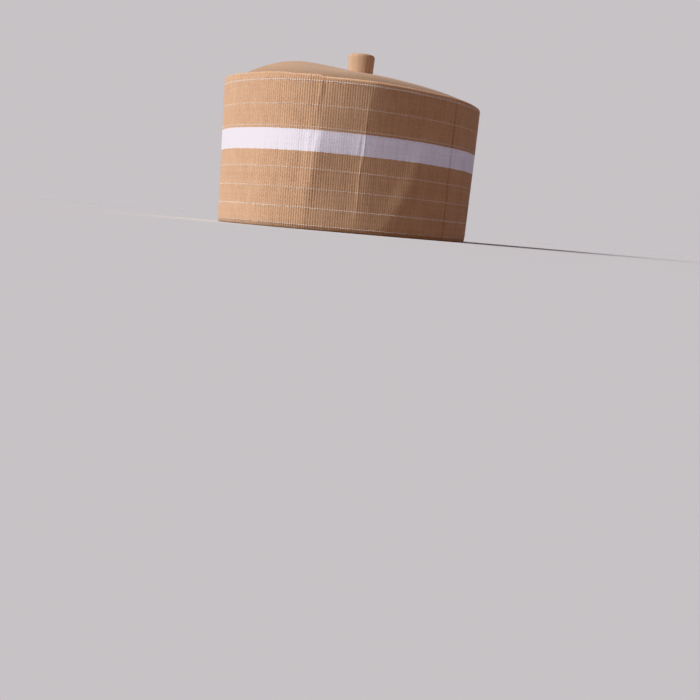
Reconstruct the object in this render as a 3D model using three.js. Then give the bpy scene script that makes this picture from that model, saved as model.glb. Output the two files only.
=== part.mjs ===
// Aso oke cap: a stiff oval drum of ribbed, striped cloth with a domed crown and a short stuffed stalk.
// Millimetres, +Z up. The front of the cap faces -Y and the wearer's left is +X.
// The origin is on the floor plane, in the middle of the rim.
import * as THREE from "three";

// Driving dimensions of the wall
const rimHalfLength = 99.5; // outside, from the middle to the front
const rimHalfWidth = 85.8; // outside, from the middle to a side
const ovalPower = 2.2; // 2 is an ellipse, and more is squarer
const flareHeight = 104; // height over which the wall widens by the flare
const flareShare = 0.02; // how much wider the wall is at that height than at the rim
const wallThickness = 2.4; // two layers of cloth
const hemThickness = 3.2; // wall with the edge turned up inside
const hemHeight = 15;
const hemStep = 0.8; // height over which the turned-up edge thins out
const rimRounding = 0.7;
const lipRounding = 1.1;

// Driving dimensions of the crown
const crownThickness = 1.6;
const crownEdgeHeight = 101.5; // where the dome meets the inside of the wall
const crownRise = 12; // plain dome, before its swells
const crownFullness = 5.6; // 2 is a round dome, and more is flatter with steeper sides
const crownTurnDown = 6; // sewn edge that hangs inside the wall
const crownEdgeRounding = 0.8;

// Driving dimensions of the stalk
const stalkTopHeight = 135;
const stalkTopRadius = 10.1;
const stalkBaseRadius = 9.1;
const stalkRounding = 2.2;
const stalkTopCrown = 0.4; // how far the middle of its top stands above the edge
const stalkBack = 4; // how far behind the middle of the cap it stands
const stalkSides = 24;

// Clearance between pieces that are sewn together
const seamGap = 0.3;

// Angles are in degrees round the cap, from the front towards the wearer's left.

// Height of the folded lip round the top of the wall
const lipRows = [
  { angle: -180, height: 102.4 },
  { angle: -110, height: 103.2 },
  { angle: -50, height: 105.8 },
  { angle: -20, height: 105 },
  { angle: 12, height: 104.9 },
  { angle: 22, height: 103.8 },
  { angle: 30, height: 103.8 },
  { angle: 32, height: 102.7 },
  { angle: 100, height: 102.5 },
  { angle: 140, height: 101.4 },
  { angle: 180, height: 102.4 },
];

// Folds of the wall: where the crest runs at the rim and at the top, how high it stands above its valley,
// how wide it is towards the front and towards the back, and the share of its height at three levels
const wallFolds = [
  { name: "front crease", rimAngle: 29, topAngle: 32, height: 1.7,
    frontWidth: 7, backWidth: 4, atRim: 0.3, atMiddle: 1, atTop: 0.9 },
  { name: "temple crease", rimAngle: 50, topAngle: 53, height: 1.9,
    frontWidth: 6, backWidth: 4, atRim: 0.5, atMiddle: 1, atTop: 0.6 },
  { name: "side bulge", rimAngle: 58, topAngle: 80, height: 1.6,
    frontWidth: 12, backWidth: 8, atRim: 0.5, atMiddle: 1, atTop: 0.3 },
];
const crestShare = 0.5; // share of a fold's height that stands out, the rest being its valley
const valleyPlace = 1.7; // from the crest to the valley, in front widths

// Swells and hollows of the crown: where, how far out as a share of the radius, how wide, and how high
const crownSwells = [
  { name: "front swell", angle: -26, reach: 0.5, spread: 0.42, height: 9.8 },
  { name: "back fall", angle: 128, reach: 0.5, spread: 0.5, height: -7 },
  { name: "side swell", angle: 45, reach: 0.35, spread: 0.28, height: 1.9 },
  { name: "valley above the front crease", angle: 31, reach: 0.72, spread: 0.16, height: -1.4 },
];
const swellFade = 4; // how sharply the swells die out at the crown's edge

// How finely the oval is divided: finer over the folds
const ovalStretches = [
  { from: -180, to: 18, step: 6 },
  { from: 18, to: 86, step: 2 },
  { from: 86, to: 92, step: 3 },
  { from: 92, to: 180, step: 8 },
];

// Levels of the wall and rings of the crown, as shares, and levels of the stalk's side
const wallOutsideLevels = [0.06, 0.15, 0.27, 0.39, 0.5, 0.61, 0.73, 0.85, 0.94];
const wallInsideLevels = [0.92, 0.76, 0.58, 0.4, 0.26];
const crownTopRings = [0.98, 0.94, 0.88, 0.8, 0.7, 0.6, 0.48, 0.36, 0.24, 0.12, 0];
const crownUndersideRings = [0, 0.15, 0.3, 0.45, 0.6, 0.74, 0.86, 0.94];
const stalkLevels = [0, 0.25, 0.5, 0.75, 1];
const stalkRoundingSteps = 4;

const degree = Math.PI / 180;

// Height of the lip at an angle, eased between the two rows that it lies between
function lipHeight(angle) {
  const after = lipRows.findIndex((row, i) => i > 0 && angle <= row.angle);
  const low = lipRows[after - 1];
  const high = lipRows[after];
  const share = THREE.MathUtils.smoothstep(angle, low.angle, high.angle);
  return THREE.MathUtils.lerp(low.height, high.height, share);
}

// Plain oval, with no folds and no flare
function ovalRadius(angle) {
  const along = Math.abs(Math.cos(angle * degree)) / rimHalfLength;
  const across = Math.abs(Math.sin(angle * degree)) / rimHalfWidth;
  return (along ** ovalPower + across ** ovalPower) ** (-1 / ovalPower);
}

function bell(distance, width) {
  return Math.exp(-((distance / width) ** 2));
}

// How far the folds push the wall out or in
function foldOffset(angle, z) {
  const level = THREE.MathUtils.clamp(z / flareHeight, 0, 1);
  let offset = 0;
  for (const fold of wallFolds) {
    const crest = THREE.MathUtils.lerp(fold.rimAngle, fold.topAngle, level);
    const distance = (angle - crest) * degree * ovalRadius(angle);
    const width = distance < 0 ? fold.frontWidth : fold.backWidth;
    const valley = bell(distance + valleyPlace * fold.frontWidth, fold.frontWidth);
    const ridge = bell(distance, width);
    const strength = level < 0.5
      ? THREE.MathUtils.lerp(fold.atRim, fold.atMiddle, level * 2)
      : THREE.MathUtils.lerp(fold.atMiddle, fold.atTop, level * 2 - 1);
    offset += fold.height * strength * (crestShare * ridge - (1 - crestShare) * valley);
  }
  return offset;
}

function wallOutside(angle, z) {
  return ovalRadius(angle) * (1 + (flareShare * z) / flareHeight) + foldOffset(angle, z);
}

function wallInside(angle, z) {
  return wallOutside(angle, z) - wallThickness;
}

function pointAt(angle, radius, z) {
  return new THREE.Vector3(radius * Math.sin(angle * degree), -radius * Math.cos(angle * degree), z);
}

function ovalAngles() {
  const angles = [];
  for (const { from, to, step } of ovalStretches) {
    for (let angle = from; angle < to; angle += step) {
      angles.push(angle);
    }
  }
  return angles;
}

// A closed surface over sections that follow each other round the cap, their points all in the same order.
// The sections close on themselves, or else they all start on one point and all end on another.
function skinSections(sections, endsShared) {
  const size = sections[0].length;
  const points = [];
  const places = sections.map((section, station) => section.map((point, row) => {
    const shared = endsShared && (row === 0 || row === size - 1);
    if (shared && station > 0) {
      return null;
    }
    points.push(point);
    return points.length - 1;
  }));
  const place = (station, row) => places[station][row] ?? places[0][row];
  const triangles = [];
  const addTriangle = (a, b, c) => {
    if (a !== b && b !== c && c !== a) {
      triangles.push(a, b, c);
    }
  };
  const lastRow = endsShared ? size - 1 : size;
  for (let station = 0; station < sections.length; station += 1) {
    const next = (station + 1) % sections.length;
    for (let row = 0; row < lastRow; row += 1) {
      const above = (row + 1) % size;
      addTriangle(place(station, row), place(next, row), place(next, above));
      addTriangle(place(station, row), place(next, above), place(station, above));
    }
  }
  const geometry = new THREE.BufferGeometry().setFromPoints(points);
  geometry.setIndex(triangles);
  geometry.computeVertexNormals();
  return geometry;
}

function clothMesh(name, geometry, color) {
  const material = new THREE.MeshStandardMaterial({ color, roughness: 0.85, metalness: 0 });
  const mesh = new THREE.Mesh(geometry, material);
  mesh.name = name;
  return mesh;
}

// Wall: up the outside from the rim, over the folded lip, and down the inside to the turned-up hem
function wallSection(angle) {
  const lip = lipHeight(angle);
  const lipStart = lip - lipRounding;
  const outsideAtLip = wallOutside(angle, lipStart);
  const insideAtLip = wallInside(angle, lipStart);
  const hemInside = (z) => wallOutside(angle, z) - hemThickness;
  const outside = [rimRounding, ...wallOutsideLevels.map((share) => share * lip), lipStart];
  const inside = [lipStart, ...wallInsideLevels.map((share) => share * lip), hemHeight + hemStep];
  return [
    pointAt(angle, wallOutside(angle, 0) - rimRounding, 0),
    ...outside.map((z) => pointAt(angle, wallOutside(angle, z), z)),
    pointAt(angle, outsideAtLip - lipRounding / 3, lip - lipRounding / 3),
    pointAt(angle, outsideAtLip - lipRounding, lip),
    pointAt(angle, insideAtLip + lipRounding / 3, lip - lipRounding / 3),
    ...inside.map((z) => pointAt(angle, wallInside(angle, z), z)),
    pointAt(angle, hemInside(hemHeight), hemHeight),
    pointAt(angle, hemInside(rimRounding), rimRounding),
    pointAt(angle, hemInside(0) + rimRounding, 0),
  ];
}

// Height of the crown's top surface at a share of its radius
function crownTop(angle, ring) {
  const plain = crownRise * (1 - ring ** crownFullness);
  const forward = ring * Math.cos(angle * degree);
  const sideways = ring * Math.sin(angle * degree);
  let swelling = 0;
  for (const { angle: swellAngle, reach, spread, height } of crownSwells) {
    const ahead = forward - reach * Math.cos(swellAngle * degree);
    const aside = sideways - reach * Math.sin(swellAngle * degree);
    swelling += height * bell(Math.hypot(ahead, aside), spread);
  }
  return crownEdgeHeight + plain + swelling * (1 - ring ** swellFade);
}

function crownEdgeRadius(angle, z) {
  return wallInside(angle, z) - seamGap;
}

// Crown: out along the underside, round the turned-down edge, and back over the top
function crownSection(angle) {
  const edge = crownEdgeRadius(angle, crownEdgeHeight);
  const bottom = crownEdgeHeight - crownTurnDown;
  const shoulder = crownEdgeHeight - crownEdgeRounding;
  const innerEdge = edge - crownThickness;
  const underside = (ring) => pointAt(angle, ring * edge, crownTop(angle, ring) - crownThickness);
  const topside = (ring) => pointAt(angle, ring * edge, crownTop(angle, ring));
  const innerEdgeTop = crownTop(angle, innerEdge / edge) - crownThickness;
  return [
    ...crownUndersideRings.map(underside),
    pointAt(angle, innerEdge, innerEdgeTop),
    pointAt(angle, crownEdgeRadius(angle, bottom) - crownThickness, bottom),
    pointAt(angle, crownEdgeRadius(angle, bottom), bottom),
    pointAt(angle, crownEdgeRadius(angle, shoulder), shoulder),
    ...crownTopRings.map(topside),
  ];
}

// Height of the crown's top surface under a point
function crownTopUnder(x, y) {
  const angle = Math.atan2(x, -y) / degree;
  const ring = Math.hypot(x, y) / crownEdgeRadius(angle, crownEdgeHeight);
  return crownTop(angle, ring);
}

// Stalk: its base follows the slope of the crown, and its top edge is rounded
function stalkSection(angle) {
  const at = (radius, z) => pointAt(angle, radius, z).add(new THREE.Vector3(0, stalkBack, 0));
  const onCrown = (radius) => {
    const point = at(radius, 0);
    point.z = crownTopUnder(point.x, point.y) + seamGap;
    return point;
  };
  const base = onCrown(stalkBaseRadius);
  const roundingStart = stalkTopHeight - stalkRounding;
  const side = stalkLevels.slice(1).map((share) => at(
    THREE.MathUtils.lerp(stalkBaseRadius, stalkTopRadius, share),
    THREE.MathUtils.lerp(base.z, roundingStart, share),
  ));
  const rounding = [];
  for (let step = 1; step <= stalkRoundingSteps; step += 1) {
    const turn = (step / stalkRoundingSteps) * Math.PI * 0.5;
    const radius = stalkTopRadius - stalkRounding * (1 - Math.cos(turn));
    rounding.push(at(radius, roundingStart + stalkRounding * Math.sin(turn)));
  }
  return [
    onCrown(0),
    onCrown(stalkBaseRadius / 2),
    base,
    ...side,
    ...rounding,
    at(0, stalkTopHeight + stalkTopCrown),
  ];
}

function stalkAngles() {
  return Array.from({ length: stalkSides }, (_, side) => (side * 360) / stalkSides);
}

const cap = new THREE.Group();
cap.add(
  clothMesh("side_wall", skinSections(ovalAngles().map(wallSection), false), 0xc89a6e),
  clothMesh("crown", skinSections(ovalAngles().map(crownSection), true), 0xc4966a),
  clothMesh("stalk", skinSections(stalkAngles().map(stalkSection), true), 0xc6986c),
);

export default cap;
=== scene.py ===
import math

import bpy
import numpy as np
from mathutils import Matrix, Vector


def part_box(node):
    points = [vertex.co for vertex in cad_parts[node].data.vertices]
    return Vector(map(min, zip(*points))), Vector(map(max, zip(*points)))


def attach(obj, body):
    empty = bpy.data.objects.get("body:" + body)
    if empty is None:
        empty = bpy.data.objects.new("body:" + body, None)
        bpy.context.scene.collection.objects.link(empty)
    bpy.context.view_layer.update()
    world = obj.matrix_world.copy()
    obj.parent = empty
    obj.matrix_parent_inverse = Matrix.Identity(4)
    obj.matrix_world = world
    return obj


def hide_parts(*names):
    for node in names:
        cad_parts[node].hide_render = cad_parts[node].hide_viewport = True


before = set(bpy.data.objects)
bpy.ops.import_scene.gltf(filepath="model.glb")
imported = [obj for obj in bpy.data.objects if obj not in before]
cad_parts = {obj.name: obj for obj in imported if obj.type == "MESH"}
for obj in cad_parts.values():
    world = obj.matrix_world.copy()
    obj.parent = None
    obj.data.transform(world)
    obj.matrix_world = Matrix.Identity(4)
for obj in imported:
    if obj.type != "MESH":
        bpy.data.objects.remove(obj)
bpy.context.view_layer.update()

mm = 0.001  # shapes are worked out in millimetres, and meshes are in metres
print("cap: packed solids loaded")


# Shape shared by the pieces: millimetres, and degrees from the front towards the wearer's left
capForm = {
    "ovalPower": 2.2,  # 2 is an ellipse, and more is squarer
    "flare": 0.02,  # how much wider the top is than the rim
    "flareHeight": 104,
    "lip": [
        (-180, 102.4), (-110, 103.2), (-50, 105.8), (-20, 105), (12, 104.9), (22, 103.8),
        (30, 103.8), (32, 102.7), (100, 102.5), (140, 101.4), (180, 102.4),
    ],
    # crest angle at the rim and at the top; the crest's rise, its widths before and behind and its edge,
    # where 2 is round and 1 sharp; how far the cloth falls behind it, over what reach, and the way back out;
    # and the share of all that at even steps from the rim to the top
    "folds": [
        dict(name="front crease", rim=29, top=33, rise=0.45, before=6, behind=4, edge=1.5,
             fall=2.9, reach=28, back=45, shares=(0.5, 0.85, 1, 0.35, 0)),
        dict(name="temple crease", rim=50, top=53.5, rise=0.75, before=8, behind=14, edge=1.6,
             fall=0.5, reach=24, back=22, shares=(0.5, 0.8, 1, 0.9, 0.9)),
        dict(name="side bulge", rim=62, top=96, rise=1.6, before=9, behind=10, edge=2,
             fall=0, reach=1, back=1, shares=(0.35, 0.9, 1, 0.35, 0.25)),
        dict(name="front swell", rim=7, top=7, rise=1.7, before=22, behind=22, edge=2,
             fall=0, reach=1, back=1, shares=(0.9, 1, 0.5, 0, 0)),
    ],
    "foldSoftness": 3,  # millimetres over which the cloth turns at a crest
    "foldWander": 1.1,  # degrees that a crest strays from a straight line
    "foldTurns": 7,  # how quickly it strays, in radians over the height
    # pinched lines in the cloth: angle at the rim and at the top, height or depth, width, and where it starts
    # and ends above the rim
    "pinches": [
        (30.6, 32.8, -0.16, 0.7, 78, 108), (29, 31.4, 0.4, 1.3, 72, 112),
        (24.4, 27, -0.4, 4, 20, 88), (26.5, 29.5, 0.2, 1.2, 34, 82), (29, 32, 0.25, 1.1, 20, 70),
        (48.8, 51.4, 0.34, 0.9, 4, 100), (46.5, 49.5, 0.2, 1.2, 48, 72),
        (103.8, 104.2, -0.45, 0.8, 70, 102), (116, 119, 0.35, 2.4, 20, 104), (123, 125, 0.3, 2.2, 30, 104),
    ],
    "pinchWander": 0.3,
    "pinchTurns": 17,
    "pinchEdge": 1.6,
    # soft unevenness of the cloth: waves round the cap, waves up the wall, depth and phase
    "ripples": [(5, 0.6, 0.22, 0.4), (9, 1.1, 0.14, 2.1), (17, 0.8, 0.09, 4.0)],
}
wallLow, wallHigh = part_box("side_wall")
rimHalfLength = (wallHigh.y - wallLow.y) / 2 / mm / (1 + capForm["flare"])
rimHalfWidth = (wallHigh.x - wallLow.x) / 2 / mm / (1 + capForm["flare"])


def bell(distance, width, edge=2):
    return np.exp(-np.abs(distance / width) ** edge)


def easedTable(rows, angle):
    at = np.array([row[0] for row in rows], float)
    value = np.array([row[1] for row in rows], float)
    after = np.clip(np.searchsorted(at, angle), 1, len(at) - 1)
    share = np.clip((angle - at[after - 1]) / (at[after] - at[after - 1]), 0, 1)
    share = share * share * (3 - 2 * share)
    return value[after - 1] + (value[after] - value[after - 1]) * share


def ovalRadius(angle):
    turn = np.radians(angle)
    along = np.abs(np.cos(turn)) / rimHalfLength
    across = np.abs(np.sin(turn)) / rimHalfWidth
    power = capForm["ovalPower"]
    return (along ** power + across ** power) ** (-1 / power)


def foldOffset(angle, z):
    level = np.clip(z / capForm["flareHeight"], 0, 1)
    offset = 0
    for fold in capForm["folds"]:
        crest = fold["rim"] + (fold["top"] - fold["rim"]) * level
        crest = crest + capForm["foldWander"] * np.sin(level * capForm["foldTurns"] + fold["rim"])
        distance = np.radians(angle - crest) * ovalRadius(angle)
        width = np.where(distance < 0, fold["before"], fold["behind"])
        soft = (distance + np.hypot(distance, capForm["foldSoftness"])) / 2
        down = np.clip(soft / fold["reach"], 0, 1)
        out = np.clip((distance - fold["reach"]) / fold["back"], 0, 1)
        fall = fold["fall"] * down * (2 - down) * (1 - out * out * (3 - 2 * out))
        strength = np.interp(level, np.linspace(0, 1, len(fold["shares"])), fold["shares"])
        offset = offset + strength * (fold["rise"] * bell(distance, width, fold["edge"]) - fall)
    return offset


def pinchOffset(angle, z):
    level = np.clip(z / capForm["flareHeight"], 0, 1)
    offset = 0
    for rim, top, depth, width, start, end in capForm["pinches"]:
        stray = capForm["pinchWander"] * np.sin(level * capForm["pinchTurns"] + rim)
        line = rim + (top - rim) * level + stray
        distance = np.radians(angle - line) * ovalRadius(angle)
        share = np.clip((z - start) / (end - start), 0, 1)
        offset = offset + depth * np.sin(np.pi * share) * bell(distance, width, capForm["pinchEdge"])
    return offset


def rippleOffset(angle, z):
    level = z / capForm["flareHeight"]
    offset = 0
    for around, upward, depth, phase in capForm["ripples"]:
        offset = offset + depth * np.sin(np.radians(angle) * around + phase + upward * np.pi * level)
    return offset


def wallOutside(angle, z):
    flare = 1 + capForm["flare"] * z / capForm["flareHeight"]
    shaped = foldOffset(angle, z) + pinchOffset(angle, z) + rippleOffset(angle, z)
    return ovalRadius(angle) * flare + shaped


def ringPoints(angle, radius, z):
    turn = np.radians(angle)
    across, along, up = np.broadcast_arrays(radius * np.sin(turn), -radius * np.cos(turn), z)
    return np.stack([across, along, up], axis=-1)


outlineSteps = 7200  # for measuring along the oval


# angles that share the oval out in equal lengths of cloth
def evenAngles(count):
    fine = np.linspace(-180, 180, outlineSteps + 1)
    outline = ringPoints(fine, ovalRadius(fine), 0)
    run = np.concatenate([[0], np.cumsum(np.linalg.norm(np.diff(outline, axis=0), axis=1))])
    return np.interp(np.arange(count) / count * run[-1], run, fine)


mapMargin = 0.006  # kept free round each part of a flat map


# the corners of each face of a grid of places on a map
def gridCorners(grid):
    lower = grid[:-1]
    upper = grid[1:]
    return np.stack([lower[:, :-1], lower[:, 1:], upper[:, 1:], upper[:, :-1]], 2)


# flat map of a ring whose profile closes on itself: cut in two, and laid out as one strip above the other
def stripMap(points):
    steps = np.linalg.norm(np.roll(points, -1, axis=0) - points, axis=2).mean(axis=1)
    run = np.concatenate([[0], np.cumsum(steps)]) / steps.sum()
    across = np.linspace(mapMargin, 1 - mapMargin, points.shape[1] // 2 + 1)
    strips = []
    for low in (0, 0.5):
        places = np.meshgrid(across, low + mapMargin + run * (0.5 - 2 * mapMargin))
        strips.append(gridCorners(np.stack(places, -1)))
    return np.concatenate(strips, axis=1).reshape(-1, 2)


# flat map of a closed form: one disc for the rows up to the split, and one beside it for the rest
def discMap(points, split):
    steps = np.linalg.norm(np.diff(points, axis=0), axis=2).mean(axis=1)
    ends = points[[0, -1]]
    first, last = np.linalg.norm(ends - ends.mean(axis=1, keepdims=True), axis=2).mean(axis=1)
    under = first + np.concatenate([[0], np.cumsum(steps[:split])])
    over = last + np.concatenate([[0], np.cumsum(steps[split:][::-1])])[::-1]
    scale = (1 - 4 * mapMargin) / 2 / (under[-1] + over[0])
    turn = np.linspace(0, 2 * math.pi, points.shape[1] + 1)
    centres = (mapMargin + scale * under[-1], 1 - mapMargin - scale * over[0])
    discs = []
    for centre, reach in zip(centres, (under, over)):
        reach = scale * reach[:, None]
        discs.append(np.stack([centre + reach * np.sin(turn), 0.5 + reach * np.cos(turn)], -1))
    corners = np.concatenate([gridCorners(disc) for disc in discs]).reshape(-1, 2)
    return np.concatenate([corners, discs[0][0, :-1][::-1], discs[1][-1, :-1]])


def addMap(mesh, name, corners):
    layer = mesh.uv_layers.new(name=name)
    layer.uv.foreach_set("vector", corners.astype(np.float32).ravel())


# a surface over rings of points: its profile closes on itself, or each end ring gets one small face; where it
# doesn't close, split is the row that its flat map is cut along
def clothObject(name, points, weave, materials, split=None, rowMaterials=None):
    closed = split is None
    rows, columns = points.shape[:2]
    ids = np.arange(rows * columns).reshape(rows, columns)
    below = ids if closed else ids[:-1]
    above = np.roll(ids, -1, axis=0) if closed else ids[1:]
    faces = np.stack([below, np.roll(below, -1, 1), np.roll(above, -1, 1), above], -1).reshape(-1, 4)
    corners = gridCorners(weave).reshape(-1, 2)
    faceList = faces.tolist()
    if not closed:
        faceList += [ids[0][::-1].tolist(), ids[-1].tolist()]
        corners = np.concatenate([corners, weave[0, :-1][::-1], weave[-1, :-1]])
    mesh = bpy.data.meshes.new(name)
    mesh.from_pydata((points.reshape(-1, 3) * mm).tolist(), [], faceList)
    addMap(mesh, "weave", corners)
    addMap(mesh, "OFBake", stripMap(points) if closed else discMap(points, split))
    for material in materials:
        mesh.materials.append(material)
    if rowMaterials is not None:
        byFace = np.repeat(rowMaterials, columns)
        if not closed:
            byFace = np.concatenate([byFace, [rowMaterials[0], rowMaterials[-1]]])
        mesh.polygons.foreach_set("material_index", byFace.astype(np.int32))
    mesh.shade_smooth()
    made = bpy.data.objects.new(name, mesh)
    bpy.context.scene.collection.objects.link(made)
    return made


# a number for each point of a piece, which its material reads by name
def pointValues(made, name, values):
    attribute = made.data.attributes.new(name, "FLOAT", "POINT")
    attribute.data.foreach_set("value", values.astype(np.float32).ravel())


# One socket of a node tree: arithmetic on these adds Math nodes
class Wire:
    def __init__(self, tree, socket=None):
        self.tree = tree
        self.socket = socket

    def node(self, kind, settings=None, sockets=None, out=0):
        made = self.tree.nodes.new(kind)
        for name, value in (settings or {}).items():
            setattr(made, name, value)
        for place, value in (sockets or {}).items():
            if isinstance(value, Wire):
                self.tree.links.new(value.socket, made.inputs[place])
            else:
                made.inputs[place].default_value = value
        return Wire(self.tree, made.outputs[out] if made.outputs else None)

    def output(self, place):
        return Wire(self.tree, self.socket.node.outputs[place])

    def math(self, operation, *values):
        return self.node("ShaderNodeMath", {"operation": operation}, dict(enumerate(values)))

    def __add__(self, other):
        return self.math("ADD", self, other)

    def __radd__(self, other):
        return self.math("ADD", other, self)

    def __sub__(self, other):
        return self.math("SUBTRACT", self, other)

    def __rsub__(self, other):
        return self.math("SUBTRACT", other, self)

    def __mul__(self, other):
        return self.math("MULTIPLY", self, other)

    def __rmul__(self, other):
        return self.math("MULTIPLY", other, self)

    def __truediv__(self, other):
        return self.math("DIVIDE", self, other)

    def __abs__(self):
        return self.math("ABSOLUTE", self)

    def __pow__(self, other):
        return self.math("POWER", self, other)


def newMaterial(name):
    material = bpy.data.materials.new(name)
    material.use_nodes = True
    material.node_tree.nodes.clear()
    return material, Wire(material.node_tree)


def smoothStep(value, low, high):
    return value.node("ShaderNodeMapRange", {"interpolation_type": "SMOOTHSTEP"}, {0: value, 1: low, 2: high})


# 1 within half a width of a line, and 0 past it, with a soft edge
def lineMask(value, place, half, soft):
    return 1 - smoothStep(abs(value - place), half, half + soft)


# 0 in the middle of each thread, and 1 between two
def betweenThreads(count, edge=2.0):
    return abs(2 * count.math("FRACT", count) - 1) ** edge


def mixColour(factor, first, second):
    return factor.node("ShaderNodeMix", {"data_type": "RGBA"}, {0: factor, 6: first, 7: second}, out=2)


def toned(colour, tone):
    first = colour if isinstance(colour, Wire) else colour[:3]
    return tone.node("ShaderNodeVectorMath", {"operation": "SCALE"}, {0: first, "Scale": tone})


def scatter(value, seed):
    return value.node("ShaderNodeTexWhiteNoise", {"noise_dimensions": "2D"},
                      {"Vector": value.node("ShaderNodeCombineXYZ", sockets={0: value, 1: seed})})


# soft noise over a plane, with its own scale along each direction
def cloudNoise(across, upward, acrossScale, upScale, detail=2.0):
    place = across.node("ShaderNodeCombineXYZ", sockets={0: across * acrossScale, 1: upward * upScale})
    return across.node("ShaderNodeTexNoise", {"noise_dimensions": "2D"},
                       {"Vector": place, "Scale": 1.0, "Detail": detail})


# the noises that a cloth names, each with its own fineness across and up
def clothNoises(cloth, across, upward):
    return {name: cloudNoise(across, upward, *fineness) for name, fineness in cloth["noises"].items()}


# a cloth's plain tone, plus each part's share of light and dark
def clothTone(plain, shares, parts):
    tone = plain
    for name, share in shares.items():
        tone = tone + share * parts[name]
    return tone


def finishCloth(start, colour, roughness, relief, cloth):
    bump = start.node("ShaderNodeBump", sockets={
        "Strength": cloth["bumpStrength"], "Distance": cloth["bumpDepth"] * mm, "Height": relief})
    shader = start.node("ShaderNodeBsdfPrincipled", sockets={
        "Base Color": colour, "Roughness": roughness, "Normal": bump,
        "Specular IOR Level": cloth["gloss"], "Sheen Weight": cloth["sheen"],
        "Sheen Roughness": cloth["sheenRoughness"], "Sheen Tint": cloth["sheenTint"]})
    start.node("ShaderNodeOutputMaterial", sockets={"Surface": shader})


# Side wall: upright cords, woven stripes, a turned hem, a folded lip and one upright seam
wall = {
    "ribs": 352,
    "ribProfile": (0, 0.84, 1, 0.84),  # one cord from valley to valley
    "ribDepth": 0.27,
    # the cords stand out most at the creased front, and lie flatter where the cloth is drawn tight
    "ribStrength": [(-180, 0.9), (-25, 0.8), (4, 1.5), (28, 1.8), (38, 1.1), (60, 0.85), (180, 0.9)],
    "bandRibShare": 0.4,  # the white band's threads lie over the cords and fill them
    "ribUneven": 0.6,  # how much a cord's depth varies along it and from the next
    "insideRibShare": 0.3,
    "rimRibShare": 0.6,
    "thickness": 2.4,
    "hemHeight": 15,
    "hemThickness": 3.2,
    "hemStep": 0.8,
    "rimRounding": 0.7,
    "rimTuck": 0.6,  # the bottom edge curves in by this over its last millimetres
    "rimTuckHeight": 4,
    "lipRise": 1.6,
    "lipTuck": 0.3,
    "lipTuckHeight": 3,
    "lipHighlightReach": 1.0,  # painted highlight: how far down from the folded edge the cloth is painted pale, as if lit from above, and where
    "lipHighlightShare": [(-180, 0.3), (10, 0.3), (34, 1), (95, 1), (115, 0.6), (180, 0.3)],
    "outsideRows": 36,
    "lipRows": 8,
    "insideRows": 8,
    "seamAngle": 101.5,
    "seamDepth": 0.55,
    "seamWidth": 0.8,
    "seamStep": 0.3,  # the cloth behind the seam lies this much higher
    "seamStepReach": 9,
    "whiteBand": (52.7, 67.1),
    "seed": 11,
}
wallCloth = {
    "tan": (0.572, 0.374, 0.243, 1),
    "grooveShadeTan": (0.33, 0.16, 0.08, 1),  # painted shade between the cords
    "grooveDepth": 0.5,
    "valleyEdge": 2.5,  # more makes the dark between two cords narrower
    "unbrokenShare": 0.4,  # how dark it stays where it is broken
    "grooveFade": (0.3, 1.7),  # how faint and how strong it is from place to place
    "dashLength": 3.1,  # it is broken into dashes
    "dashStray": 1.5,
    "dashSoftness": 0.25,
    # painted highlight along the lip's folded edge
    "lipHighlightTone": 0.5,
    "white": (0.85, 0.805, 0.87, 1),
    "cream": (0.8, 0.68, 0.58, 1),  # the thin lines, whose thread is finer and lets the tan through
    "threadPitch": 0.46,
    "noises": {"slub": (0.12, 0.9), "patch": (0.03, 0.05), "fibre": (3.1, 4.7), "speckle": (1.1, 0.8),
               "faded": (0.3, 0.1), "seam": (0.2, 0.08)},
    "streakFineness": (7.3, 0.09),  # along each cord
    "strayFineness": (3.7, 0.13),  # along each groove
    "breakFineness": (5.7, 0.4),
    "plainTone": 0.64,
    "toneShares": {"cord": 0.06, "threads": 0.08, "slub": 0.1, "patch": 0.08, "thread": 0.1,
                   "speckle": 0.2, "streak": 0.2, "strength": 0.05},
    "insideFineness": (0.04, 0.06),
    "insideTone": 0.74,
    "insideShares": {"cord": 0.08, "patch": 0.12, "thread": 0.08},
    "roughness": 0.9,
    "bandSmoothness": 0.18,  # the white band is this much smoother
    "insideRoughness": 0.92,
    "stripeSoftness": 0.15,
    "stripeUneven": 0.2,  # millimetres that a stripe's edge strays from cord to cord
    "seamShade": 0.25,
    "seamHalf": 0.1,  # half the width of the seam's dark line and the width of its soft edge, in cords
    "seamSoft": 0.4,
    "seamFaint": 0.25,
    "pinHalfShare": 1 / 3,  # half the width of a thin line's tint, as a share of its thickness
    "threadRelief": 0.7,
    "fibreRelief": 0.5,
    "bandGrooveShade": 0.14,  # painted shade: how dark the grooves are in the white band
    "bumpStrength": 0.6,
    "bumpDepth": 0.16,
    "gloss": 0.25,
    "sheen": 0.15,
    "sheenRoughness": 0.5,
    "sheenTint": (1.0, 0.9, 0.8, 1),
}
# the thin white lines: height above the rim, thickness, how strongly the cloth under it is tinted, and how
# white its thread is
pinLines = [
    dict(height=2.9, thickness=0.75, tint=0.35, white=0.7),
    dict(height=14.7, thickness=0.8, tint=0.5, white=1),
    dict(height=27.8, thickness=0.65, tint=0.35, white=0.8),
    dict(height=41.2, thickness=0.65, tint=0.35, white=0.8),
    dict(height=68.9, thickness=0.65, tint=0.3, white=0.65),
    dict(height=83.6, thickness=0.65, tint=0.35, white=0.8),
    dict(height=99.4, thickness=0.95, tint=0.5, white=0.9),
]


def seamOffset(angle):
    distance = np.radians(angle - wall["seamAngle"]) * ovalRadius(angle)
    step = np.where(distance > 0, bell(distance, wall["seamStepReach"]), 0)
    return wall["seamStep"] * step - wall["seamDepth"] * bell(distance, wall["seamWidth"])


def wallFace(angle, z):
    return wallOutside(angle, z) + seamOffset(angle)


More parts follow.
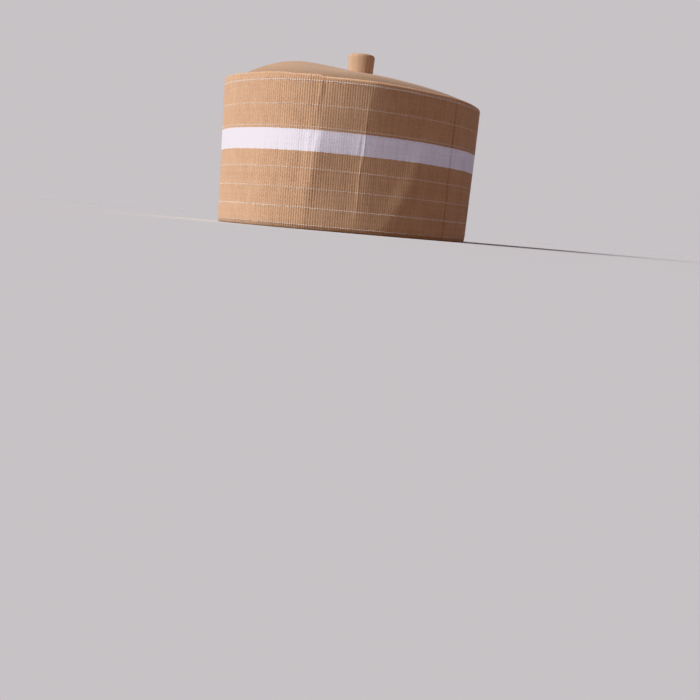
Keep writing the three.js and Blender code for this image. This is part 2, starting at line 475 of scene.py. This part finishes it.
# which cord the upright seam runs along
def seamRib():
    perRib = len(wall["ribProfile"])
    angles = evenAngles(wall["ribs"] * perRib)
    return float(np.interp(wall["seamAngle"], angles, np.arange(len(angles)) / perRib))


def stripedCloth():
    material, start = newMaterial("striped_rib_cloth")
    place = start.node("ShaderNodeSeparateXYZ", sockets={
        0: start.node("ShaderNodeUVMap", {"uv_map": "weave"})})
    ribs = place.output(0)  # one unit for each cord
    height = place.output(1)  # millimetres above the rim
    cord = ribs.math("FLOOR", ribs)
    valley = betweenThreads(ribs, wallCloth["valleyEdge"])
    threads = height / wallCloth["threadPitch"] + 0.5 * cord.math("MODULO", cord, 2.0)
    thread = 1 - betweenThreads(threads)
    cordTone = scatter(cord, seed=3.0)
    threadTone = scatter(threads.math("FLOOR", threads), seed=5.0)
    noise = clothNoises(wallCloth, ribs, height)
    # painted highlight: paler cloth along the lip's folded edge, as if lit from above
    lipHighlight = start.node("ShaderNodeAttribute", {"attribute_name": "lipHighlight"}, out=2)
    strength = start.node("ShaderNodeAttribute", {"attribute_name": "ribStrength"}, out=2)
    streak = cloudNoise(cord, height, *wallCloth["streakFineness"])
    parts = dict(noise, cord=cordTone, threads=threadTone, thread=thread, streak=streak, strength=strength)
    tone = clothTone(wallCloth["plainTone"], wallCloth["toneShares"], parts)
    tone = tone + wallCloth["lipHighlightTone"] * lipHighlight
    side = ribs.math("FLOOR", ribs + 0.5)  # which groove, counted between the cords
    stray = cloudNoise(side, height, *wallCloth["strayFineness"])
    turns = height / wallCloth["dashLength"] + 0.5 * side + wallCloth["dashStray"] * stray
    dash = 0.5 + 0.5 * side.math("COSINE", 2 * math.pi * turns)
    gaps = cloudNoise(side, height, *wallCloth["breakFineness"])
    edge = wallCloth["dashSoftness"]
    broken = smoothStep((dash + gaps) / 2, 0.5 - edge, 0.5 + edge)
    faint, strong = wallCloth["grooveFade"]
    faded = faint + (strong - faint) * noise["faded"]
    unbroken = wallCloth["unbrokenShare"]
    # painted shade: the cloth is darkened between the cords, in broken dashes
    groove = valley * (unbroken + (1 - unbroken) * broken) * strength * faded
    seamShown = wallCloth["seamFaint"] + (1 - wallCloth["seamFaint"]) * noise["seam"]
    seamLine = seamShown * lineMask(ribs, seamRib(), wallCloth["seamHalf"], wallCloth["seamSoft"])
    tone = tone * (1 - wallCloth["seamShade"] * seamLine)
    uneven = height + wallCloth["stripeUneven"] * (cordTone - 0.5)
    low, high = wall["whiteBand"]
    soft = wallCloth["stripeSoftness"]
    band = smoothStep(uneven, low - soft, low + soft) * (1 - smoothStep(uneven, high - soft, high + soft))
    pins = 0 * band
    for pin in pinLines:
        half = wallCloth["pinHalfShare"] * pin["thickness"]
        line = pin["tint"] * lineMask(uneven, pin["height"], half, 2 * soft)
        pins = pins.math("MAXIMUM", pins, line)
    # painted shade mixed into the tan between the cords
    tan = mixColour(wallCloth["grooveDepth"] * groove, wallCloth["tan"], wallCloth["grooveShadeTan"])
    lined = mixColour(pins, tan, wallCloth["cream"])
    tone = tone * (1 - wallCloth["bandGrooveShade"] * groove * band)
    colour = toned(mixColour(band, lined, wallCloth["white"]), tone)
    relief = wallCloth["threadRelief"] * thread + wallCloth["fibreRelief"] * noise["fibre"]
    roughness = wallCloth["roughness"] - wallCloth["bandSmoothness"] * band
    finishCloth(start, colour, roughness, relief, wallCloth)
    return material


def insideCloth():
    material, start = newMaterial("inside_cloth")
    place = start.node("ShaderNodeSeparateXYZ", sockets={
        0: start.node("ShaderNodeUVMap", {"uv_map": "weave"})})
    ribs = place.output(0)
    height = place.output(1)
    threads = height / wallCloth["threadPitch"]
    thread = 1 - betweenThreads(threads)
    cordTone = scatter(ribs.math("FLOOR", ribs), seed=9.0)
    patch = cloudNoise(ribs, height, *wallCloth["insideFineness"])
    parts = dict(cord=cordTone, patch=patch, thread=thread)
    tone = clothTone(wallCloth["insideTone"], wallCloth["insideShares"], parts)
    finishCloth(start, toned(wallCloth["tan"], tone), wallCloth["insideRoughness"], thread, wallCloth)
    return material


def buildWall():
    random = np.random.default_rng(wall["seed"])
    columns = wall["ribs"] * len(wall["ribProfile"])
    angle = evenAngles(columns)
    strength = easedTable(wall["ribStrength"], angle)
    cordProfile = np.tile(np.array(wall["ribProfile"]) - 1, wall["ribs"])

    # the cords' own relief on one row: no two rows or cords are quite alike
    def cords():
        depth = wall["ribDepth"] * (1 - wall["ribUneven"] * random.random(wall["ribs"]))
        return cordProfile * np.repeat(depth, len(wall["ribProfile"])) * strength

    lip = easedTable(capForm["lip"], angle)
    lipStart = lip - wall["lipRise"]
    rounding = wall["rimRounding"]
    sections = []  # (height, how far in from the outside, share of the cords) for each row

    rimIn = wall["rimTuck"] + rounding
    sections.append((0 * lip, rimIn, wall["rimRibShare"]))
    bandLow, bandHigh = wall["whiteBand"]
    for share in np.linspace(0, 1, wall["outsideRows"]):
        z = rounding + share * (lipStart - rounding)
        low = np.clip(1 - z / wall["rimTuckHeight"], 0, 1)
        high = np.clip(1 - (lip - z) / wall["lipTuckHeight"], 0, 1)
        ribShare = np.where((z > bandLow) & (z < bandHigh), wall["bandRibShare"], 1)
        sections.append((z, wall["rimTuck"] * low ** 2 + wall["lipTuck"] * high ** 2, ribShare))
    outsideCount = len(sections)
    startIn = sections[-1][1]
    for turn in np.linspace(0, math.pi, wall["lipRows"] + 1)[1:]:
        inward = startIn + (wall["thickness"] - startIn) * (1 - math.cos(turn)) / 2
        share = 1 if turn < math.pi / 2 else wall["insideRibShare"]
        sections.append((lipStart + wall["lipRise"] * math.sin(turn), inward, share))
    hemTop = wall["hemHeight"] + wall["hemStep"]
    for share in np.linspace(0, 1, wall["insideRows"] + 1)[1:]:
        sections.append((lipStart + share * (hemTop - lipStart), wall["thickness"], wall["insideRibShare"]))
    for z in (wall["hemHeight"], wall["hemHeight"] / 2, rounding):
        sections.append((z + 0 * lip, wall["hemThickness"], wall["insideRibShare"]))
    sections.append((0 * lip, wall["hemThickness"] - rounding, wall["insideRibShare"]))

    points = np.stack([
        ringPoints(angle, wallFace(angle, z) - inward + cords() * ribShare, z)
        for z, inward, ribShare in sections])
    ribNumber = np.arange(columns + 1) / len(wall["ribProfile"])
    heights = np.stack([np.append(z, z[0]) for z, inward, ribShare in sections + sections[:1]])
    weave = np.stack([np.broadcast_to(ribNumber, heights.shape), heights], -1)
    shown = outsideCount + wall["lipRows"] // 2
    rowMaterials = (np.arange(len(sections)) >= shown).astype(int)
    materials = [stripedCloth(), insideCloth()]
    made = clothObject("side_wall_cloth", points, weave, materials, rowMaterials=rowMaterials)
    # painted highlight: how strongly each point near the lip's folded edge is painted pale
    lipHighlight = bell(lip - points[..., 2], wall["lipHighlightReach"]) * easedTable(wall["lipHighlightShare"], angle)
    lipHighlight[shown:] = 0
    pointValues(made, "lipHighlight", lipHighlight)
    pointValues(made, "ribStrength", np.broadcast_to(strength, lipHighlight.shape))
    return made


# Pin lines: a white thread shows as a short float on each cord and dips between them
pinThread = {
    "cover": 0.86,  # length of a float, as a share of a cord
    "proud": 0.06,  # how far its middle stands off the cord
    "halfDepth": 0.13,
    "endDip": 0.6,  # how deep its ends go between the cords, as a share of the cords' depth
    "sides": 5,
    "stations": ((-0.62, 0.75), (0, 1), (0.62, 0.75)),  # place along the float, and its thickness there
    "lengthUneven": 0.2,
    "heightUneven": 0.1,
    "hiddenShare": 0.1,  # floats that stay under the cords
    "whiteUneven": 0.7,  # how much one float's whiteness differs from the next
    "cellMargin": 0.1,  # kept free round each float on the flat map
    "fibreFineness": 2600.0,
    "wornFineness": 420.0,
    "plainTone": 0.7,
    "toneShares": {"fibre": 0.16, "worn": 0.45},
    "roughness": 0.75,
    "roughnessUneven": 0.1,
    "seed": 23,
}


def threadMaterial():
    material, start = newMaterial("white_thread")
    place = start.node("ShaderNodeTexCoord", out=3)
    fibre = start.node("ShaderNodeTexNoise", sockets={
        "Vector": place, "Scale": pinThread["fibreFineness"], "Detail": 2.0})
    worn = start.node("ShaderNodeTexNoise", sockets={
        "Vector": place, "Scale": pinThread["wornFineness"], "Detail": 1.0})
    tone = clothTone(pinThread["plainTone"], pinThread["toneShares"], dict(fibre=fibre, worn=worn))
    white = start.node("ShaderNodeAttribute", {"attribute_name": "whiteness"}, out=2)
    colour = toned(mixColour(white, wallCloth["tan"], wallCloth["cream"]), tone)
    roughness = pinThread["roughness"] + pinThread["roughnessUneven"] * fibre
    finishCloth(start, colour, roughness, fibre, wallCloth)
    return material


def buildPinThreads():
    random = np.random.default_rng(pinThread["seed"])
    perRib = len(wall["ribProfile"])
    crest = evenAngles(wall["ribs"] * perRib)[perRib // 2::perRib]
    pitch = 2 * math.pi / wall["ribs"]
    side = np.arange(pinThread["sides"]) * 2 * math.pi / pinThread["sides"]
    points = []
    whiteness = []
    for pin in pinLines:
        count = wall["ribs"]
        shown = random.random(count) > pinThread["hiddenShare"]
        length = 1 - pinThread["lengthUneven"] * random.random(count)
        lift = pinThread["heightUneven"] * (2 * random.random(count) - 1)
        uneven = pinThread["whiteUneven"] * (random.random(count) - 0.5)
        whiteness.append(pin["white"] * (1 + uneven[shown]))
        for angle, long, up in zip(crest[shown], length[shown], lift[shown]):
            z = pin["height"] + up
            radius = float(wallFace(angle, z))
            reach = math.degrees(pitch * pinThread["cover"] * long / 2)
            rings = [ringPoints(angle - reach, radius - wall["ribDepth"] * pinThread["endDip"], z)[None]]
            for place, share in pinThread["stations"]:
                bow = radius + pinThread["proud"] - wall["ribDepth"] * place ** 2
                depth = pinThread["halfDepth"] * share * np.cos(side)
                tall = pin["thickness"] / 2 * share * np.sin(side)
                rings.append(ringPoints(angle + place * reach, bow + depth, z + tall))
            rings.append(ringPoints(angle + reach, radius - wall["ribDepth"] * pinThread["endDip"], z)[None])
            points.append(np.concatenate(rings))
    points = np.array(points)
    count, size = points.shape[:2]
    sides = pinThread["sides"]
    stations = len(pinThread["stations"])
    faces = []
    flat = []  # each corner's place along the float and round it
    for k in range(sides):
        after = (k + 1) % sides
        faces.append((0, 1 + after, 1 + k))
        flat.append(((0, k + 0.5), (1, k + 1), (1, k)))
        for ring in range(stations - 1):
            first = 1 + ring * sides
            faces.append((first + k, first + after, first + sides + after))
            flat.append(((ring + 1, k), (ring + 1, k + 1), (ring + 2, k + 1)))
            faces.append((first + k, first + sides + after, first + sides + k))
            flat.append(((ring + 1, k), (ring + 2, k + 1), (ring + 2, k)))
        last = 1 + (stations - 1) * sides
        faces.append((last + k, last + after, size - 1))
        flat.append(((stations, k), (stations, k + 1), (stations + 1, k + 0.5)))
    allFaces = (np.array(faces)[None] + (np.arange(count) * size)[:, None, None]).reshape(-1, 3)
    mesh = bpy.data.meshes.new("pin_lines")
    mesh.from_pydata((points.reshape(-1, 3) * mm).tolist(), [], allFaces.tolist())
    cells = math.ceil(math.sqrt(count))  # the map has a small square for each float
    corner = np.stack([np.arange(count) % cells, np.arange(count) // cells], -1)[:, None, None]
    margin = pinThread["cellMargin"]
    inCell = margin + (1 - 2 * margin) * np.array(flat) / (stations + 1, sides)
    addMap(mesh, "OFBake", ((corner + inCell) / cells).reshape(-1, 2))
    mesh.materials.append(threadMaterial())
    mesh.shade_smooth()
    made = bpy.data.objects.new("pin_lines", mesh)
    bpy.context.scene.collection.objects.link(made)
    pointValues(made, "whiteness", np.repeat(np.concatenate(whiteness), size))
    return made


# Crown: a domed panel with a front swell, set just inside the wall, with a short turned-down edge
crown = {
    "edgeHeight": 101.5,
    "rise": 12,
    "fullness": 5.6,
    "thickness": 1.6,
    "turnDown": 6,
    "seamGap": 0.3,
    # angle, reach as a share of the radius, spread, height
    "swells": [(-26, 0.5, 0.42, 9.8), (128, 0.5, 0.5, -7), (45, 0.35, 0.28, 1.9), (31, 0.72, 0.16, -1.4)],
    "swellFade": 4,
    "gathers": 58,  # small puckers where the edge is eased into the wall
    "gatherDepth": 0.22,
    "gatherReach": 0.07,
    "gatherStray": 2.5,  # how far the puckers stray from even places, and how often round the edge
    "gatherStrays": 7,
    "columns": 232,
    "topRows": 54,
    "rowCrowding": 1.35,  # more than 1 sets the rows closer at the edge
    "middleShare": 0.004,  # size of the small face in the middle
    "edgeRows": 5,
    "undersideRows": 16,
}
crownCloth = {
    "tan": (0.546, 0.355, 0.227, 1),
    "twillPitch": 1.1,
    "ridgeShare": 0.4,  # how much of a twill ridge stays at its notches
    "fibreRelief": 0.5,
    "noises": {"patch": (0.035, 0.05), "slub": (0.9, 0.12), "fibre": (2.7, 3.3), "speckle": (0.8, 0.8)},
    "plainTone": 0.4,
    "toneShares": {"weave": 0.26, "patch": 0.12, "slub": 0.1, "fibre": 0.16, "speckle": 0.64},
    "roughness": 0.92,
    "edgeStart": 0.45,  # painted shade: the cloth is darkened towards its edge, where the lip shades it; this is where that begins
    "paintedEdgeShade": 0.32,
    "paintedSideShade": 0.2,  # and more painted shade towards the wearer's left, which faces away from the key light, by this share
    "bumpStrength": 0.5,
    "bumpDepth": 0.16,
    "gloss": 0.25,
    "sheen": 0.2,
    "sheenRoughness": 0.5,
    "sheenTint": (1.0, 0.9, 0.8, 1),
}


def crownEdge(angle, z):
    return wallFace(angle, z) - wall["thickness"] - crown["seamGap"]


def crownTop(angle, ring):
    turn = np.radians(angle)
    swelling = 0
    for swellAngle, reach, spread, height in crown["swells"]:
        ahead = ring * np.cos(turn) - reach * math.cos(math.radians(swellAngle))
        aside = ring * np.sin(turn) - reach * math.sin(math.radians(swellAngle))
        swelling = swelling + height * bell(np.hypot(ahead, aside), spread)
    plain = crown["rise"] * (1 - ring ** crown["fullness"])
    return crown["edgeHeight"] + plain + swelling * (1 - ring ** crown["swellFade"])


def gatherRelief(angle, ring):
    turn = np.radians(angle)
    stray = crown["gatherStray"] * np.sin(turn * crown["gatherStrays"])
    wave = np.sin(turn * crown["gathers"] + stray)
    fade = np.clip(1 - (1 - ring) / crown["gatherReach"], 0, 1)
    return crown["gatherDepth"] * wave * fade * (1 - fade) * 4


def closeTwill():
    material, start = newMaterial("crown_cloth")
    place = start.node("ShaderNodeSeparateXYZ", sockets={0: start.node("ShaderNodeTexCoord", out=3)})
    across = place.output(0) / mm
    along = place.output(1) / mm
    pitch = crownCloth["twillPitch"]
    diagonal = (across + along) / pitch
    counter = (across - along) / pitch
    ridge = 1 - betweenThreads(diagonal)
    notch = 1 - betweenThreads(counter)
    weave = ridge * (crownCloth["ridgeShare"] + (1 - crownCloth["ridgeShare"]) * notch)
    noise = clothNoises(crownCloth, across, along)
    power = capForm["ovalPower"]
    ring = (abs(along) / rimHalfLength) ** power + (abs(across) / rimHalfWidth) ** power
    leftwards = smoothStep(across, 0, rimHalfWidth)
    # painted shade towards the crown's edge, more on the wearer's left
    paintedEdgeShade = smoothStep(ring, crownCloth["edgeStart"], 1.0) * (1 + crownCloth["paintedSideShade"] * leftwards)
    tone = clothTone(crownCloth["plainTone"], crownCloth["toneShares"], dict(noise, weave=weave))
    tone = tone * (1 - crownCloth["paintedEdgeShade"] * paintedEdgeShade)
    relief = weave + crownCloth["fibreRelief"] * noise["fibre"]
    finishCloth(start, toned(crownCloth["tan"], tone), crownCloth["roughness"], relief, crownCloth)
    return material


def buildCrown(twill):
    angle = evenAngles(crown["columns"])
    bottom = crown["edgeHeight"] - crown["turnDown"]
    edge = crownEdge(angle, crown["edgeHeight"])
    rings = []  # (radius, height) of each row, from the middle of the underside to the middle of the top
    innerRing = 1 - crown["thickness"] / edge
    for share in np.linspace(crown["middleShare"], 1, crown["undersideRows"]):
        rings.append((edge * innerRing * share, crownTop(angle, innerRing * share) - crown["thickness"]))
    for inward in (crown["thickness"], 0):
        rings.append((crownEdge(angle, bottom) - inward, bottom + 0 * angle))
    for z in np.linspace(bottom, crown["edgeHeight"], crown["edgeRows"])[1:-1]:
        rings.append((crownEdge(angle, z), z + 0 * angle))
    for share in np.linspace(0, 1, crown["topRows"]):
        middle = crown["middleShare"]
        ring = max(1 - (1 - middle) * share ** crown["rowCrowding"] - middle * share, middle)
        rings.append((edge * ring, crownTop(angle, ring) + gatherRelief(angle, ring)))
    points = np.stack([ringPoints(angle, radius, z) for radius, z in rings])
    flat = np.concatenate([points, points[:, :1]], axis=1)[..., :2]
    return clothObject("crown_cloth", points, flat, [twill], split=crown["undersideRows"] + 1)


# Stalk: a short stuffed stub with upright grain, a side seam and a rounded top
stalk = {
    "topRadius": 10.1,
    "baseRadius": 9.1,
    "baseFlare": 0.7,  # the cloth spreads where it is sewn down
    "baseFlareHeight": 3,
    "topRounding": 2.2,
    "topCrown": 0.4,
    "back": 4,  # behind the middle of the cap
    "grooves": 40,
    "grooveDepth": 0.03,
    "seamAngle": 62,
    "seamHeight": 0.05,
    "seamWidth": 5,  # degrees
    "grooveStart": 0.25,  # the grooves reach their full depth at this share of the height
    "baseShares": (0.02, 0.5, 1),  # rings of the base, as shares of its radius
    "middleShare": 0.02,  # size of the small face in the middle of the top
    "columns": 120,
    "sideRows": 24,
    "roundingRows": 8,
    "topRows": 5,
}
stalkCloth = {
    "tan": (0.552, 0.37, 0.246, 1),
    "grainPitch": 0.75,
    "seamHalf": 0.15,
    "seamSoft": 0.35,
    "fibreRelief": 0.6,
    "noises": {"slub": (1.3, 0.16), "fibre": (4.0, 2.0)},
    "plainTone": 0.74,
    "toneShares": {"line": 0.14, "slub": 0.16, "grain": 0.08, "fibre": 0.14, "seam": 0.12},
    "roughness": 0.92,
    "bumpStrength": 0.55,
    "bumpDepth": 0.16,
    "gloss": 0.25,
    "sheen": 0.18,
    "sheenRoughness": 0.5,
    "sheenTint": (1.0, 0.9, 0.8, 1),
}


def grainedCloth():
    material, start = newMaterial("stalk_cloth")
    place = start.node("ShaderNodeSeparateXYZ", sockets={
        0: start.node("ShaderNodeUVMap", {"uv_map": "weave"})})
    around = place.output(0)
    upward = place.output(1)
    lines = around / stalkCloth["grainPitch"]
    grain = 1 - betweenThreads(lines)
    lineTone = scatter(lines.math("FLOOR", lines), seed=2.0)
    noise = clothNoises(stalkCloth, around, upward)
    seamPlace = math.radians(stalk["seamAngle"] + 180) * stalk["topRadius"]
    seam = lineMask(around, seamPlace, stalkCloth["seamHalf"], stalkCloth["seamSoft"])
    tone = clothTone(stalkCloth["plainTone"], stalkCloth["toneShares"],
                     dict(noise, line=lineTone, grain=grain, seam=seam))
    relief = grain + stalkCloth["fibreRelief"] * noise["fibre"]
    finishCloth(start, toned(stalkCloth["tan"], tone), stalkCloth["roughness"], relief, stalkCloth)
    return material


def crownTopUnder(x, y):
    angle = np.degrees(np.arctan2(x, -y))
    ring = np.hypot(x, y) / crownEdge(angle, crown["edgeHeight"])
    return crownTop(angle, ring)


def buildStalk(twill):
    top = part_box("stalk")[1].z / mm - stalk["topCrown"]
    angle = np.linspace(-180, 180, stalk["columns"], endpoint=False)
    groove = stalk["grooveDepth"] * np.sin(np.radians(angle) * stalk["grooves"])
    groove = groove + stalk["seamHeight"] * bell(angle - stalk["seamAngle"], stalk["seamWidth"])
    rings = []  # (radius, height) of each row, from the middle of the base up to the middle of the top

    def onCrown(radius):
        points = ringPoints(angle, radius, 0)
        return crownTopUnder(points[..., 0], points[..., 1] + stalk["back"]) + crown["seamGap"]

    baseRadius = stalk["baseRadius"] + stalk["baseFlare"]
    for share in stalk["baseShares"]:
        rings.append((baseRadius * share + 0 * angle, onCrown(baseRadius * share)))
    start = onCrown(baseRadius)
    end = top - stalk["topRounding"]
    for share in np.linspace(0, 1, stalk["sideRows"])[1:]:
        z = start + (end - start) * share
        low = np.clip(1 - (z - start) / stalk["baseFlareHeight"], 0, 1)
        radius = stalk["baseRadius"] + (stalk["topRadius"] - stalk["baseRadius"]) * share
        grooveShare = min(1, share / stalk["grooveStart"])
        rings.append((radius + stalk["baseFlare"] * low ** 2 + groove * grooveShare, z))
    for turn in np.linspace(0, math.pi / 2, stalk["roundingRows"] + 1)[1:]:
        radius = stalk["topRadius"] - stalk["topRounding"] * (1 - math.cos(turn))
        z = end + stalk["topRounding"] * math.sin(turn)
        rings.append((radius + groove * math.cos(turn), z + 0 * angle))
    flatRadius = stalk["topRadius"] - stalk["topRounding"]
    for share in np.linspace(1, stalk["middleShare"], stalk["topRows"] + 1)[1:]:
        rise = stalk["topCrown"] * (1 - share ** 2)
        rings.append((flatRadius * share + 0 * angle, top + rise + 0 * angle))
    points = np.stack([ringPoints(angle, radius, z) for radius, z in rings])
    points[..., 1] += stalk["back"]
    run = np.arange(stalk["columns"] + 1) * 2 * math.pi * stalk["topRadius"] / stalk["columns"]
    heights = np.concatenate([points[..., 2], points[:, :1, 2]], axis=1)
    weave = np.stack([np.broadcast_to(run, heights.shape), heights], -1)
    rowMaterials = np.zeros(len(rings) - 1)
    rowMaterials[-stalk["topRows"]:] = 1
    materials = [grainedCloth(), twill]
    return clothObject("stalk_cloth", points, weave, materials, len(stalk["baseShares"]) - 1, rowMaterials)


wallPiece = buildWall()
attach(wallPiece, "root")
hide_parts("side_wall")
print("cap: side wall woven")

pinPiece = buildPinThreads()
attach(pinPiece, "root")
print("cap: pin lines laid")

twillCloth = closeTwill()
crownPiece = buildCrown(twillCloth)
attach(crownPiece, "root")
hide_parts("crown")
print("cap: crown set in")

stalkPiece = buildStalk(twillCloth)
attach(stalkPiece, "root")
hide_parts("stalk")
print("cap: stalk sewn on")


# Studio: a pale floor and a backdrop of the same tone, a wide soft key light, and a glow from all round
studio = {
    "floorSide": 8.0,  # metres
    "floorColour": (0.72, 0.71, 0.72),  # as the camera sees it
    "floorBounce": (0.15, 0.147, 0.15),  # darker for the light that it throws back at the cap
    "glow": (1.24, 1.09, 1.23),  # at the horizon, and it fades to none overhead
    "glowOnFloor": 1 / 6,  # the share of that glow which a level floor gets
    "keyAngle": -22,  # degrees round the cap from its front
    "keyHeight": 31,
    "keySpread": 30,  # a wider light has softer shadows
    "keyStrength": 3.9,
    "keyColour": (1.0, 0.99, 0.97),
}


# the tone of the lit floor, so that no line shows where it ends
def floorTone():
    keyShare = studio["keyStrength"] * math.sin(math.radians(studio["keyHeight"])) / math.pi
    return [own * (studio["glowOnFloor"] * glow + keyShare * key) for own, glow, key in
            zip(studio["floorColour"], studio["glow"], studio["keyColour"])]


def buildFloor():
    material, start = newMaterial("pale_floor")
    bounced, shown = (start.node("ShaderNodeBsdfDiffuse", sockets={"Color": (*studio[name], 1)})
                      for name in ("floorBounce", "floorColour"))
    seen = start.node("ShaderNodeLightPath")  # its first output is 1 for what the camera sees
    mixed = start.node("ShaderNodeMixShader", sockets={0: seen, 1: bounced, 2: shown})
    start.node("ShaderNodeOutputMaterial", sockets={"Surface": mixed})
    side = studio["floorSide"]
    mesh = bpy.data.meshes.new("floor")
    corners = [(-side, -side, 0), (side, -side, 0), (side, side, 0), (-side, side, 0)]
    mesh.from_pydata(corners, [], [(0, 1, 2, 3)])
    mesh.materials.append(material)
    made = bpy.data.objects.new("floor", mesh)
    bpy.context.scene.collection.objects.link(made)


def buildLights():
    world = bpy.data.worlds.new("studio")
    bpy.context.scene.world = world
    world.use_nodes = True
    world.node_tree.nodes.clear()
    start = Wire(world.node_tree)
    place = start.node("ShaderNodeSeparateXYZ", sockets={0: start.node("ShaderNodeTexCoord")})
    fade = (1 - place.output(2)) ** 2.0
    glow = start.node("ShaderNodeBackground", sockets={"Color": toned(studio["glow"], fade)})
    backdrop = start.node("ShaderNodeBackground", sockets={"Color": (*floorTone(), 1)})
    seen = start.node("ShaderNodeLightPath")
    mixed = start.node("ShaderNodeMixShader", sockets={0: seen, 1: glow, 2: backdrop})
    start.node("ShaderNodeOutputWorld", sockets={"Surface": mixed})
    light = bpy.data.lights.new("key", "SUN")
    light.angle = math.radians(studio["keySpread"])
    light.energy = studio["keyStrength"]
    light.color = studio["keyColour"]
    made = bpy.data.objects.new("key", light)
    turn = math.radians(studio["keyAngle"])
    rise = math.radians(studio["keyHeight"])
    towards = Vector((math.sin(turn) * math.cos(rise), -math.cos(turn) * math.cos(rise), math.sin(rise)))
    made.rotation_euler = (-towards).to_track_quat("-Z", "Y").to_euler()
    bpy.context.scene.collection.objects.link(made)


# Camera: the picture's own place, size and lean of the cap, from just above the floor
camera = {
    "framePixels": 700,
    "azimuth": 44.6,  # degrees round the cap from its front
    "height": 0.005,  # metres
    "distance": 0.78,
    "lean": 5.0,  # the cap leans to the right by this in the picture
    "aimHeight": 0.05,  # this point on the cap's axis...
    "aimPixel": (348.6, 167.0),  # ...lies here in the picture
    "pixelSize": 0.000772,  # metres at the cap's axis
    "sensor": 36.0,
    "clipStart": 0.002,
}


def buildCamera():
    turn = math.radians(camera["azimuth"])
    distance = camera["distance"]
    place = Vector((math.sin(turn) * distance, -math.cos(turn) * distance, camera["height"]))
    aim = Vector((0, 0, camera["aimHeight"]))
    middle = camera["framePixels"] / 2
    across = camera["aimPixel"][0] - middle
    upward = middle - camera["aimPixel"][1]
    ray = (aim - place).length / camera["pixelSize"]
    focal = math.sqrt((ray ** 2 + ray * math.sqrt(ray ** 2 - 4 * (across ** 2 + upward ** 2))) / 2)
    back = (place - aim).normalized()
    right = Vector((0, 0, 1)).cross(back).normalized()
    up = back.cross(right)
    lean = math.radians(camera["lean"])
    leanRight = right * math.cos(lean) + up * math.sin(lean)
    leanUp = up * math.cos(lean) - right * math.sin(lean)
    facing = Matrix((leanRight, leanUp, back)).transposed()
    sight = Vector((across, upward, -focal)).normalized()
    shift = sight.rotation_difference(Vector((0, 0, -1))).to_matrix()
    data = bpy.data.cameras.new("camera")
    data.sensor_width = camera["sensor"]
    data.lens = focal / camera["framePixels"] * camera["sensor"]
    data.clip_start = camera["clipStart"]
    made = bpy.data.objects.new("camera", data)
    made.matrix_world = Matrix.Translation(place) @ (facing @ shift).to_4x4()
    bpy.context.scene.collection.objects.link(made)
    bpy.context.scene.camera = made


buildFloor()
buildLights()
buildCamera()
bpy.context.scene.view_settings.view_transform = "Khronos PBR Neutral"
print("cap: studio set")

bpy.context.view_layer.update()
